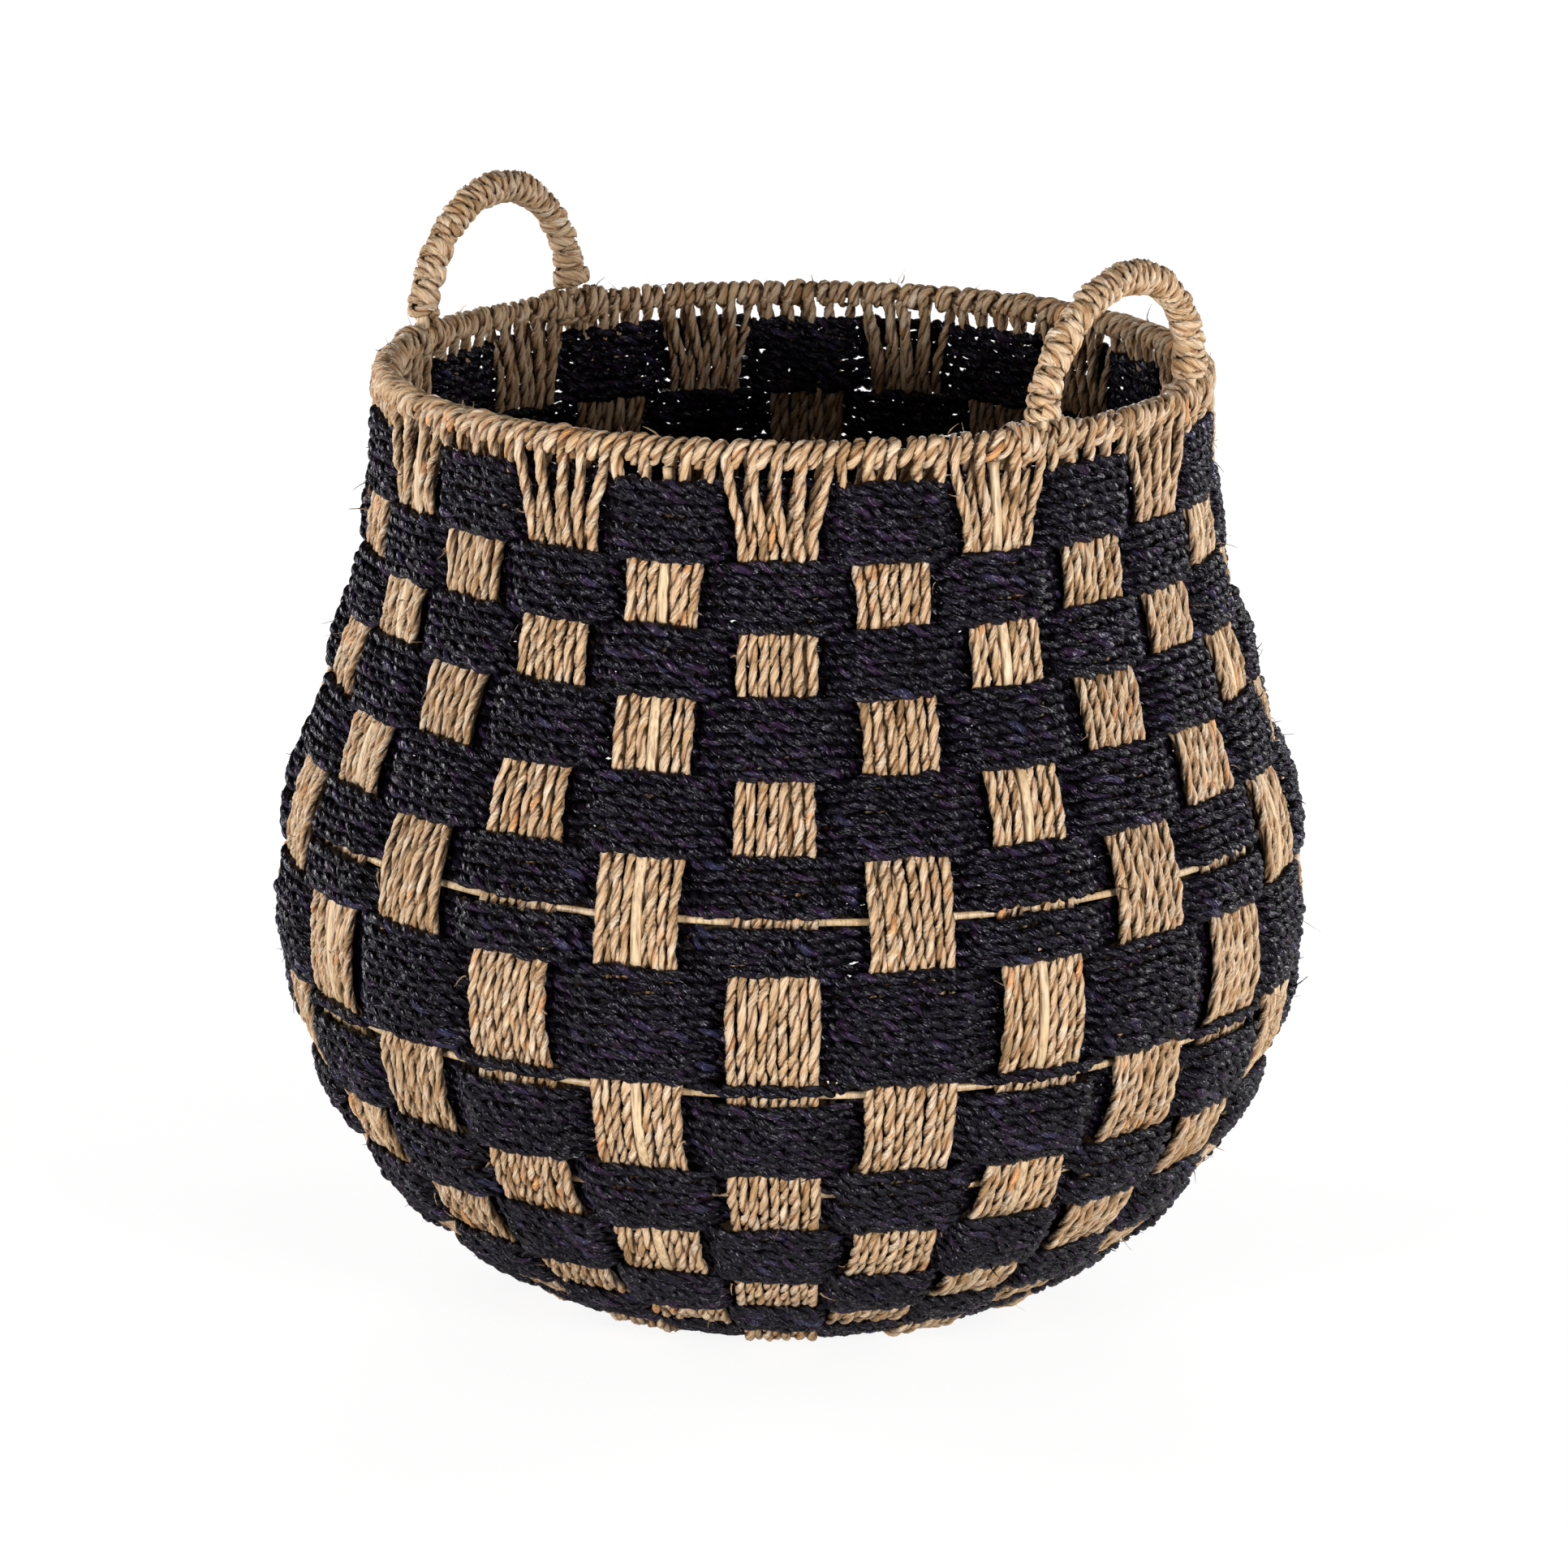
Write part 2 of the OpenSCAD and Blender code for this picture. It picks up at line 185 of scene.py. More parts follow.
# Cane: sides and squareness of its section, and the step along it. Ribs lie in from their stakes,
# and more so at the top
CANE_SIDES, CANE_POWER, CANE_STEP = 10, 0.75, 3
RIB_EVERY = 3
RIB_W, RIB_THICK = 4.4, 3.2
RIB_IN, RIB_TOP_IN, RIB_RISES = 0.3, 1.6, (6, 50)
CORE_D, CORE_STEP = 5.0, 4

# Each hoop takes the place of a round: its band and round. Then how far the rounds beside it close
# over it, how fast that fades from round to round, its size, and how deep it lies in the stakes
HOOPS = ((6, 5), (8, 1), (9, 3))
HOOP_CLOSED = {6: 0.5, 8: 0.5, 9: 1.9}
HOOP_FADE = 1.6
HOOP_D, HOOP_FLAT = 3.0, 0.85
HOOP_IN = 0.9

# Handle wrapping: where it starts up the leg, its radius, how much more it has at a foot and over
# the top and where, then its cord, and the height and lengths of its lumps
ARCH_POINTS = 200
HANDLE_STEP = 1.3
WRAP_LOW = 6
WRAP_R = 4.2
FOOT_MORE, FOOT_ENDS = 1.2, (7, 12)
TOP_MORE, TOP_STARTS = 0.9, (30, 35)
WRAP_CORD_R, WRAP_PITCH, WRAP_LAY, WRAP_FLAT = 2.5, 5.0, 13.5, 0.85
WRAP_LUMP, LUMP_WAVES = 0.25, (4.1, 9.7)
WINDING_POINTS = 24

# Second layer at a handle's feet: how far out it lies, how far up it reaches, and its cord
FOOT_OUT = 1.1
FOOT_REACH, FOOT_PITCH = (36, 44), (9.5, 10.5)
FOOT_CORD_R, FOOT_LAY, FOOT_FLAT = 2.6, 19, 0.55

# Ties: places along the rim beside a foot, slant, how far out they lie, and their cord
TIE_PLACES = (-8.5, -4.5, 4.5, 8.5)
TIE_SLANT = 3.4
TIE_OUT = 2.6
TIE_CORD_R, TIE_LAY, TIE_FLAT = 2.3, 16, 0.75

# Base: strips and their cords, the radius that they reach, and the heights of the weave
STRIPS, STRIP_CORDS = 6, 5
STRIP_PITCH, STRIP_W = 22.6, 21.6
STRIP_END_R, STRIP_BEND, STRIP_STEP = 97, 9, 2.0
BASE_MID, BASE_RISE, BASE_LOW = 4.5, 2.2, 2.2
BASE_STEEP, BASE_END_LIFT = 1.6, 0.5
BASE_CORD_R, BASE_FLAT = 2.5, 0.76

# Loose fibres: numbers, how low one may hang above the floor, and its points, curl, taper and lay
BLACK_FIBRES, NATURAL_FIBRES = 900, 420
FIBRE_LOW = 1.0
FIBRE_POINTS, FIBRE_CURL, FIBRE_TAPER, FIBRE_LAY = 7, 0.7, 0.75, 6


def seeded(part, number=0):
    """Random numbers for one piece, the same in each run."""
    return np.random.default_rng(SEED[part] + number)


def smooth(t):
    t = np.clip(t, 0, 1)
    return t * t * (3 - 2 * t)


def eased(s, start, over):
    """0 up to start and 1 from over past it, with a smooth step between."""
    return smooth((s - start) / over)


def unit(v):
    return v / np.linalg.norm(v, axis=-1, keepdims=True)


def wander(s, length, rng):
    """A smooth random wave along s, about length long and between about -1 and 1."""
    phases = rng.uniform(0, TAU, 3)
    return sum(np.sin(TAU * s / w + p) for w, p in zip(length * WAVE_MIX, phases)) / WAVE_SUM


def wave(t, count, rng):
    """The same along t from 0 to 1, about count waves that meet at the ends."""
    numbers = np.maximum(1, np.round(count * WAVE_MIX * rng.uniform(0.9, 1.1, 3)))
    phases = rng.uniform(0, TAU, 3)
    return sum(np.sin(TAU * t * n + p) for n, p in zip(numbers, phases)) / WAVE_SUM


def roughened(values, s, waves, rng, kind=wander):
    """Values along s with random waves added, each with a height and a length or number."""
    for height, length in waves:
        values = values + height * kind(s, length, rng)
    return values


# Wall and rim

def band_top(band):
    """Depth of a band's upper edge. Bands are counted from 1."""
    return TOP_GAP + ROUND_PITCH * sum(ROUNDS[:band - 1])


def wall(s):
    """Radius, height and slope (radians from upright) of the wall at depths s."""
    s = np.asarray(s, float)
    r, z, slope = (np.zeros(s.shape) for _ in range(3))
    r0, z0 = WALL_START
    at = 0.0
    for i, (bend, start, length) in enumerate(WALL):
        first = at if i > 0 else -np.inf
        last = at + length if i < len(WALL) - 1 else np.inf
        here = (s >= first) & (s < last)
        d = s[here] - at
        a = math.radians(start)
        if bend == 0:
            r[here], z[here], slope[here] = r0 + d * math.sin(a), z0 - d * math.cos(a), a
            r0, z0 = r0 + length * math.sin(a), z0 - length * math.cos(a)
        else:
            b = a + d / bend
            r[here] = r0 + bend * (math.cos(a) - np.cos(b))
            z[here] = z0 + bend * (math.sin(a) - np.sin(b))
            slope[here] = b
            end = a + length / bend
            r0 += bend * (math.cos(a) - math.cos(end))
            z0 += bend * (math.sin(a) - math.sin(end))
        at += length
    return r, RIM_Z + z, slope


def on_wall(s, angle, out, aside=0.0):
    """Points at depths s and directions (radians), out from the wall and aside along it."""
    r, z, slope = wall(s)
    x = r + out * np.cos(slope)
    return np.stack([x * np.cos(angle) - aside * np.sin(angle),
                     x * np.sin(angle) + aside * np.cos(angle),
                     z + out * np.sin(slope)], -1)


def outward(s, angle):
    """Directions away from the wall at depths s."""
    slope = wall(s)[2]
    return np.stack([np.cos(slope) * np.cos(angle), np.cos(slope) * np.sin(angle), np.sin(slope)], -1)


def round_rim(turn, angle, away):
    """Points round the rim hoop, and their directions away from it. turn is 0 on the outside and
    a quarter turn on top, angle is the place along the rim, and both are radians."""
    x, z = RIM_R + away * np.cos(turn), RIM_Z + away * np.sin(turn)
    points = np.stack([x * np.cos(angle), x * np.sin(angle), z], -1)
    away_x = np.cos(turn)
    return points, np.stack([away_x * np.cos(angle), away_x * np.sin(angle), np.sin(turn)], -1)


# Cords and cane

def section(out, radial, tangent):
    """Points round a two-ply cord of radius 1, with the ply of each and 0 in the crease."""
    end = math.acos(-out / radial)
    points, ply, crest = [], [], []
    for way in (1, -1):
        for i in range(LOBE_POINTS + 2):
            a = -end + 2 * end * i / (LOBE_POINTS + 1)
            points.append((way * (out + radial * math.cos(a)), way * tangent * math.sin(a)))
            ply.append((way + 1) / 2)
            crest.append(0.0 if i in (0, LOBE_POINTS + 1) else 1.0)
    return np.array(points), np.array(ply), np.array(crest)


def distances(path):
    """Distances along a path to each of its points."""
    return np.concatenate([[0], np.cumsum(np.linalg.norm(np.diff(path, axis=0), axis=1))])


def values_at(s, along, values):
    """Rows of values at distances s, where along has the distances of the rows that are known."""
    return np.stack([np.interp(s, along, column) for column in values.T], -1)


def resample(path, extra, step):
    """Even points along a path, with the values in extra carried along."""
    along = distances(path)
    count = max(3, int(round(along[-1] / step)))
    s = np.linspace(0, along[-1], count + 1)
    return values_at(s, along, path), [values_at(s, along, e) for e in extra], s, along[-1]


def across_path(p, ref, closed):
    """Directions square to a path: the nearest to ref, and the one beside it."""
    t = np.gradient(p, axis=0)
    if closed:
        t[0] = t[-1] = p[1] - p[-2]
    t = unit(t)
    n = unit(ref - t * np.sum(ref * t, -1, keepdims=True))
    return n, np.cross(t, n)


class Cords:
    """Collects cords and makes one mesh of them."""

    def __init__(self, rng, ply):
        self.rng = rng
        self.section, self.ply, self.crest = section(*ply)
        self.rings, self.fibre, self.strand, self.capped = [], [], [], []

    def add(self, path, ref, radius, lay, step=RING_STEP, closed=False, flat=1.0, loose=0.07,
            shade=1.0):
        """One twisted cord along path. ref points away from what the cord lies on, and flat
        squeezes the cord along it. loose is how uneven the plies are, and shade how dark the painted
        shade on its sides is, down between it and the next cord."""
        path = np.asarray(path, float)
        ref = np.broadcast_to(np.asarray(ref, float), path.shape)
        radius, shade = (np.broadcast_to(np.asarray(v, float), (len(path),)).reshape(-1, 1)
                         for v in (radius, shade))
        if closed:
            path, ref, radius, shade = (np.vstack([v, v[:1]]) for v in (path, ref, radius, shade))
        p, (n, r, shade), s, length = resample(path, [ref, radius, shade], step)
        rng = self.rng
        if closed:
            turns = max(1, round(length / lay))
            uneven = [wave(s / length, length / PLY_WAVE, rng) for _ in range(2)]
            twist = TAU * turns * s / length + TWIST_DRIFT * wave(s / length, length / (2.0 * lay), rng)
        else:
            uneven = [wander(s, PLY_WAVE, rng) for _ in range(2)]
            twist = TAU * s / lay + TWIST_DRIFT * wander(s, 2.0 * lay, rng)
        n, b = across_path(p, n, closed)
        twist = twist + rng.uniform(0, TAU)
        size = 1 + loose * np.where(self.ply > 0.5, uneven[0][:, None], uneven[1][:, None])
        c, w = np.cos(twist)[:, None], np.sin(twist)[:, None]
        x = (self.section[:, 0] * c - self.section[:, 1] * w) * size * r
        y = (self.section[:, 0] * w + self.section[:, 1] * c) * size * r
        stretch = 1 / math.sqrt(flat)
        ring = p[:, None] + n[:, None] * (x * flat)[..., None] + b[:, None] * (y * stretch)[..., None]
        a = np.arctan2(self.section[:, 1], self.section[:, 0])
        full = np.ones_like(x)
        place = full * (s + rng.uniform(0, PATTERN_RANGE))[:, None]
        tone = np.where(self.ply > 0.5, rng.uniform(), rng.uniform())
        # Painted shade: front falls below 1 where a point stands out little from the cord's middle, so
        # the material darkens the cord's sides down between it and the next cord
        front = 1 - shade * (1 - eased(np.abs(x) / r, VALLEY_LOW, VALLEY_FADE))
        self.rings.append(ring)
        self.fibre.append(np.stack([np.cos(a) * full, np.sin(a) * full, place], -1))
        self.strand.append(np.stack([full * tone, full * self.crest, front], -1))
        self.capped.append(not closed)

    def build(self, name, material, nodes=()):
        """Makes the mesh, puts it in the scene and lets it stand for the CAD nodes."""
        faces, caps, uv, cell, first = [], [], [], 0, 0
        total = sum(len(r) + 1 for r in self.rings)
        high = len(LOBE_FACES) + 1
        rows = max(1, math.ceil(math.sqrt(total / high)))
        per_row = math.ceil(total / rows)
        du, dv = FACE_FILL[0] / per_row, FACE_FILL[1] / (rows * high)
        j = np.array(LOBE_FACES)[None]
        for ring, capped in zip(self.rings, self.capped):
            n = len(ring)
            i = np.arange(n - 1)[:, None]
            a = first + i * SIDES + j
            faces.append(np.stack([a, a + 1, a + 1 + SIDES, a + SIDES], -1).reshape(-1, 4))
            place = cell + i
            u0 = place % per_row / per_row + 0 * j
            v0 = (place // per_row * high + np.arange(high - 1)[None]) / (rows * high)
            quad = [(u0, v0), (u0, v0 + dv), (u0 + du, v0 + dv), (u0 + du, v0)]
            uv.append(np.stack([np.stack(q, -1) for q in quad], -2).reshape(-1, 2))
            if capped:
                caps.append((first + np.array(CAP)[::-1], cell + n - 1, 0))
                caps.append((first + (n - 1) * SIDES + np.array(CAP), cell + n - 1, 1))
            cell += n + 1
            first += n * SIDES
        quads = np.concatenate(faces)
        loops = [quads.ravel()]
        around = np.linspace(0, TAU, len(CAP), endpoint=False)
        for corners, place, end in caps:
            loops.append(corners)
            u = (place % per_row + 0.5 + CAP_FILL[0] * np.cos(around)) / per_row
            v = (place // per_row + 0.25 + 0.5 * end + CAP_FILL[1] * np.sin(around)) / rows
            uv.append(np.stack([u, v], -1))
        sizes = np.concatenate([np.full(len(quads), 4), np.full(len(caps), len(CAP))])
        verts = np.concatenate([r.reshape(-1, 3) for r in self.rings]) * MM
        piece = mesh_piece(name, verts, np.concatenate(loops), sizes, material, nodes)
        set_attribute(piece, "fibre", np.concatenate([v.reshape(-1, 3) for v in self.fibre]))
        set_attribute(piece, "strand", np.concatenate([v.reshape(-1, 3) for v in self.strand]))
        layer = piece.data.uv_layers.new(name="OFBake")
        layer.data.foreach_set("uv", np.concatenate(uv).astype(np.float32).ravel())


def new_object(name, data):
    obj = bpy.data.objects.new(name, data)
    bpy.context.scene.collection.objects.link(obj)
    return obj


def set_attribute(piece, label, values):
    layer = piece.data.attributes.new(label, "FLOAT_VECTOR", "POINT")
    layer.data.foreach_set("vector", values.astype(np.float32).ravel())


def mesh_piece(name, verts, loops, sizes, material, nodes):
    """A mesh from its corners, the loops of its faces and their sizes, riding on the basket."""
    me = bpy.data.meshes.new(name)
    me.vertices.add(len(verts))
    me.vertices.foreach_set("co", verts.astype(np.float32).ravel())
    me.loops.add(len(loops))
    me.loops.foreach_set("vertex_index", loops.astype(np.int32))
    me.polygons.add(len(sizes))
    starts = np.concatenate([[0], np.cumsum(sizes)[:-1]])
    me.polygons.foreach_set("loop_start", starts.astype(np.int32))
    me.polygons.foreach_set("loop_total", sizes.astype(np.int32))
    me.polygons.foreach_set("use_smooth", np.ones(len(sizes), bool))
    me.update(calc_edges=True)
    me.materials.append(material)
    piece = new_object(name, me)
    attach(piece, "root")
    if nodes:
        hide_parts(*nodes)
    return piece


def stick(name, path, ref, wide, thick, node, closed=False, step=CANE_STEP):
    """A cane of oval section along a path, wide beside ref and thick along it."""
    path = np.asarray(path, float)
    ref = np.broadcast_to(np.asarray(ref, float), path.shape)
    if closed:
        path, ref = (np.vstack([v, v[:1]]) for v in (path, ref))
    p, (n,), s, _ = resample(path, [ref], step)
    n, b = across_path(p, n, closed)
    a = np.linspace(0, TAU, CANE_SIDES, endpoint=False)
    x = np.sign(np.cos(a)) * np.abs(np.cos(a)) ** CANE_POWER * thick / 2
    y = np.sign(np.sin(a)) * np.abs(np.sin(a)) ** CANE_POWER * wide / 2
    ring = p[:, None] + n[:, None] * x[None, :, None] + b[:, None] * y[None, :, None]
    count, sides = len(ring), CANE_SIDES
    i, j = np.arange(count - 1)[:, None], np.arange(sides)[None]
    quads = np.stack([i * sides + j, i * sides + (j + 1) % sides,
                      (i + 1) * sides + (j + 1) % sides, (i + 1) * sides + j], -1).reshape(-1, 4)
    loops = [quads.ravel()]
    sizes = [4] * len(quads)
    if not closed:
        loops += [np.arange(sides)[::-1], (count - 1) * sides + np.arange(sides)]
        sizes += [sides, sides]
    piece = mesh_piece(name, ring.reshape(-1, 3) * MM, np.concatenate(loops), np.array(sizes),
                       PALE, [node])
    around = np.stack([np.cos(a), np.sin(a)], -1)
    data = np.concatenate([np.broadcast_to(around, (count, sides, 2)),
                           np.broadcast_to(s[:, None, None], (count, sides, 1))], -1)
    set_attribute(piece, "fibre", data)


# Materials

WHITE = (255, 255, 255)


class Nodes:
    """Short names for building a node tree."""

    def __init__(self, name):
        self.material = bpy.data.materials.new(name)
        self.material.use_nodes = True
        self.tree = self.material.node_tree
        self.shader = self.tree.nodes["Principled BSDF"]

    def add(self, kind, **values):
        node = self.tree.nodes.new("ShaderNode" + kind)
        for key, value in values.items():
            setattr(node, key, value)
        return node

    def link(self, source, target):
        self.tree.links.new(source, target)

    def feed(self, value, socket):
        """Links a socket, or sets its value."""
        if isinstance(value, bpy.types.NodeSocket):
            self.link(value, socket)
        else:
            socket.default_value = value

    def attribute(self, name):
        return self.add("Attribute", attribute_name=name, attribute_type="GEOMETRY").outputs["Vector"]

    def split(self, vector):
        node = self.add("SeparateXYZ")
        self.link(vector, node.inputs[0])
        return node.outputs

    def combine(self, x, y, z):
        node = self.add("CombineXYZ")
        for value, socket in zip((x, y, z), node.inputs):
            self.feed(value, socket)
        return node.outputs[0]

    def math(self, operation, *inputs, clamp=False):
        node = self.add("Math", operation=operation, use_clamp=clamp)
        for socket, value in zip(node.inputs, inputs):
            self.feed(value, socket)
        return node.outputs[0]

    def noise(self, vector, scale=1.0, detail=2.0, rough=0.5):
        node = self.add("TexNoise")
        self.link(vector, node.inputs["Vector"])
        node.inputs["Scale"].default_value = scale
        node.inputs["Detail"].default_value = detail
        node.inputs["Roughness"].default_value = rough
        return node.outputs["Fac"]

    def ramp(self, fac, *stops):
        """A colour ramp. Each stop is a place and a 0-255 sRGB colour."""
        node = self.add("ValToRGB")
        self.link(fac, node.inputs[0])
        elements = node.color_ramp.elements
        while len(elements) < len(stops):
            elements.new(0.5)
        for element, (place, color) in zip(elements, stops):
            element.position = place
            element.color = linear(color)
        return node.outputs[0]

    def mix(self, fac, a, b, blend="MIX"):
        node = self.add("Mix", data_type="RGBA", blend_type=blend)
        for value, number in ((fac, 0), (a, 6), (b, 7)):
            self.feed(value, node.inputs[number])
        return node.outputs[2]

    def bump(self, height, distance, strength=1.0, normal=None):
        node = self.add("Bump")
        node.inputs["Strength"].default_value = strength
        node.inputs["Distance"].default_value = distance
        self.link(height, node.inputs["Height"])
        if normal:
            self.link(normal, node.inputs["Normal"])
        return node.outputs[0]


def linear(color):
    """Linear colour, with alpha, from 0-255 sRGB."""
    return (*(((c / 255 + 0.055) / 1.055) ** 2.4 if c > 10 else c / 255 / 12.92 for c in color), 1)


# Seagrass: how fast its leaves change from ply to ply, round and along a cord, their contrast, how
# strong the streaks and blotches are, the edge of the painted shade in a crease, the darkest of the
# painted shade down a valley, how much rougher fibres and valleys are, and the height of the fibres in
# metres
LEAF_APART, LEAF_ROUND, LEAF_ALONG, LEAF_CONTRAST = 31.0, 0.5, 0.045, 2.3
STREAKS, BLOTCHES, BLOTCH = 0.75, 0.7, (212, 180, 144)
CREASE_SHADE_EDGE, VALLEY_SHADE_DARK = 1.4, 0.95
FIBRE_ROUGH, VALLEY_ROUGH = 0.2, 0.4
FIBRE_HEIGHT = 0.0009

# Cane: how fine its grain is across and along, and its blotches, in waves to the metre
GRAIN_ACROSS, GRAIN_ALONG, CANE_BLOTCHES = 900.0, 60.0, 45.0


def seagrass(name, tones, streak, crease_shade, valley_shade, rough, shine, gloss, grain, lump):
    """Twisted seagrass. tones is a ramp over the leaves, streak darkens single fibres, the crease
    colour is painted shade deep between the plies and the valley colour painted shade down between
    the cords, gloss the colour of the sheen, and grain and lump are how rough the fibres and how high
    the folds of a leaf are."""
    m = Nodes(name)
    around_x, around_y, along = m.split(m.attribute("fibre"))
    tone, crest, front = m.split(m.attribute("strand"))

    def lengthways(fine, stretch, apart):
        """Places for a noise that is fine round the cord, drawn out along it, and apart from
        ply to ply."""
        return m.combine(m.math("MULTIPLY", around_x, fine), m.math("MULTIPLY", around_y, fine),
                         m.math("MULTIPLY_ADD", along, stretch, m.math("MULTIPLY", tone, apart)))

    leaf = m.noise(m.combine(m.math("MULTIPLY", tone, LEAF_APART),
                             m.math("MULTIPLY", around_x, LEAF_ROUND),
                             m.math("MULTIPLY", along, LEAF_ALONG)), detail=1.5)
    fibres = m.noise(lengthways(fine=5.0, stretch=0.09, apart=57.0), detail=3.0, rough=0.62)
    folds = m.noise(lengthways(fine=1.5, stretch=0.2, apart=23.0))
    spread_out = m.math("MULTIPLY_ADD", m.math("SUBTRACT", leaf, 0.5), LEAF_CONTRAST, 0.5, clamp=True)
    dark = m.ramp(fibres, (0.30, streak), (0.52, WHITE), (1.0, WHITE))
    blotch = m.ramp(folds, (0.28, BLOTCH), (0.48, WHITE), (1.0, WHITE))
    color = m.mix(STREAKS, m.ramp(spread_out, *tones), dark, "MULTIPLY")
    color = m.mix(BLOTCHES, color, blotch, "MULTIPLY")
    # Painted shade: the crease colour darkens the plies where crest falls to 0 in the crease between
    # them
    crease_shade_mask = m.math("POWER", m.math("SUBTRACT", 1.0, crest, clamp=True), CREASE_SHADE_EDGE)
    color = m.mix(crease_shade_mask, color, linear(crease_shade))
    # Painted shade: the valley colour darkens the cord's sides down between the cords, by the front
    # attribute
    valley_shade_mask = m.math("MULTIPLY", m.math("SUBTRACT", 1.0, front, clamp=True), VALLEY_SHADE_DARK)
    m.link(m.mix(valley_shade_mask, color, linear(valley_shade)), m.shader.inputs["Base Color"])
    deep_rough = m.math("MULTIPLY_ADD", valley_shade_mask, VALLEY_ROUGH, rough)
    m.link(m.math("MULTIPLY_ADD", fibres, FIBRE_ROUGH, deep_rough), m.shader.inputs["Roughness"])
    m.shader.inputs["Specular IOR Level"].default_value = shine
    m.shader.inputs["Specular Tint"].default_value = (*gloss, 1)
    m.link(m.bump(fibres, FIBRE_HEIGHT, grain, m.bump(folds, lump)), m.shader.inputs["Normal"])
    return m.material


def cane_material():
    """Pale split cane, with grain along its height and soft blotches."""
    m = Nodes("pale_cane")
    place = m.add("TexCoord").outputs["Object"]
    x, y, z = m.split(place)
    grain = m.noise(m.combine(m.math("MULTIPLY", x, GRAIN_ACROSS), m.math("MULTIPLY", y, GRAIN_ACROSS),
                              m.math("MULTIPLY", z, GRAIN_ALONG)))
    color = m.ramp(grain, (0.3, (144, 118, 88)), (0.5, (192, 167, 133)), (0.8, (210, 189, 158)))
    blotch = m.ramp(m.noise(place, scale=CANE_BLOTCHES), (0.3, (224, 208, 178)), (0.6, WHITE))
    m.link(m.mix(0.7, color, blotch, "MULTIPLY"), m.shader.inputs["Base Color"])
    m.link(m.math("MULTIPLY_ADD", grain, 0.2, 0.34), m.shader.inputs["Roughness"])
    m.link(m.bump(grain, 0.0003, 0.5), m.shader.inputs["Normal"])
    return m.material


# The crease and valley colours here are painted shade
STRAW = seagrass("natural_seagrass_cord",
                 tones=((0.0, (146, 116, 76)), (0.2, (188, 152, 108)), (0.42, (211, 187, 155)),
                        (0.6, (198, 163, 121)), (0.82, (217, 199, 174)), (0.97, (208, 152, 98))),
                 streak=(140, 88, 46), crease_shade=(132, 82, 38), valley_shade=(30, 13, 4),
                 rough=0.36, shine=0.34, gloss=(1, 1, 1), grain=0.8, lump=0.0016)
# The crease and valley colours here are painted shade
INK = seagrass("black_seagrass_cord",
               tones=((0.0, (4, 3, 7)), (0.3, (8, 7, 13)), (0.5, (17, 13, 25)), (0.66, (4, 4, 8)),
                      (0.82, (38, 21, 44)), (1.0, (38, 38, 62))),
               streak=(90, 80, 100), crease_shade=(1, 1, 1), valley_shade=(1, 1, 1),
               rough=0.11, shine=0.25, gloss=(0.94, 0.88, 1.0), grain=0.16, lump=0.003)
PALE = cane_material()


# Weave

def stake_angle(k):
    return math.radians(FIRST_STAKE + STEP * k)


def has_rib(k):
    return k % RIB_EVERY == 1


def side(k, band):
    """1 where the band passes outside stake k, -1 where it passes inside."""
    return 1 if (k + band) % 2 == 0 else -1


def stake_width(s):
    return np.interp(s, *zip(*WIDTH_AT))


def stake_out(k, s):
    """How far the middle of stake k stands out from the wall at depths s."""
    out = np.zeros_like(s)
    for band in BANDS:
        a, b = band_top(band), band_top(band + 1)
        here = smooth((s - a) / SPAN + 0.5) * smooth((b - s) / SPAN + 0.5)
        swell = np.sin(np.pi * np.clip((s - a) / (b - a), 0, 1))
        crown = LAST_CROWN if band == BANDS[-1] else CROWN * min(1, (b - a) / TALL_BAND)
        under = side(k, band) == 1
        out += here * (-UNDER_IN - UNDER_SAG * swell if under else OVER_OUT + crown * swell)
    return out


def coil(angle, aside, from_turn, to_turn, grow=0.0, lean=0.0):
    """Points of a turn over the rim hoop, and the directions away from the hoop. Turns are in
    degrees, 0 on the outside and 90 on top. aside is the turn's place along the rim, and lean
    how much more than its neighbours it slants."""
    turn = np.radians(np.arange(from_turn, to_turn, math.copysign(COIL_STEP, to_turn - from_turn)))
    top = math.pi / 2
    slant = (RIM_SLANT + lean) * np.minimum(turn, top + (turn - top) * SLANT_INSIDE) / top
    return round_rim(turn, angle + (aside + slant) / RIM_R, COIL_R + grow)


def spread(share, width):
    """Middles of things that share a width, measured from its middle."""
    total = share.sum(0)
    return ((np.cumsum(share, 0) - share / 2) / total - 0.5) * width


def cord_places(s, front, late, ribbed, rng):
    """The shares of a stake's width that its cords have at depths s, and how far aside they lie."""
    share = np.ones((len(front), len(s)))
    for j in np.flatnonzero(~front):
        if j in late:
            grown = LATE_SHARE + (1 - LATE_SHARE) * eased(s, *LATE_GROWS)
            share[j] = grown - LATE_LOSS * eased(s, *LATE_FADES)
        else:
            share[j] = BACK_SHARE + (1 - BACK_SHARE) * eased(s, *BACK_GROWS)
    width = stake_width(s) * roughened(1, s, [WIDTH_WAVE], rng) - NATURAL_R
    if not ribbed:
        return share, spread(share, width)
    middle = len(front) // 2
    half = width / 2 - RIB_W / 2
    return share, np.concatenate([spread(share[:middle], half) - RIB_W / 2 - half / 2,
                                  spread(share[middle:], half) + RIB_W / 2 + half / 2])


def second_turn(angle, rim_place, turns, rng):
    """The turn over the rim between two front cords, which a back cord leaves room for."""
    path, ref = coil(angle, rim_place + RIM_JITTER * rng.normal(), *SECOND_TURN,
                     grow=0.4 * rng.uniform(), lean=0.7 * rng.normal())
    turns.add(path, ref, NATURAL_R * (1.14 + 0.1 * rng.normal()), NATURAL_LAY * 0.75,
              flat=0.92, loose=0.18, step=1.2, shade=RIM_SHADE)


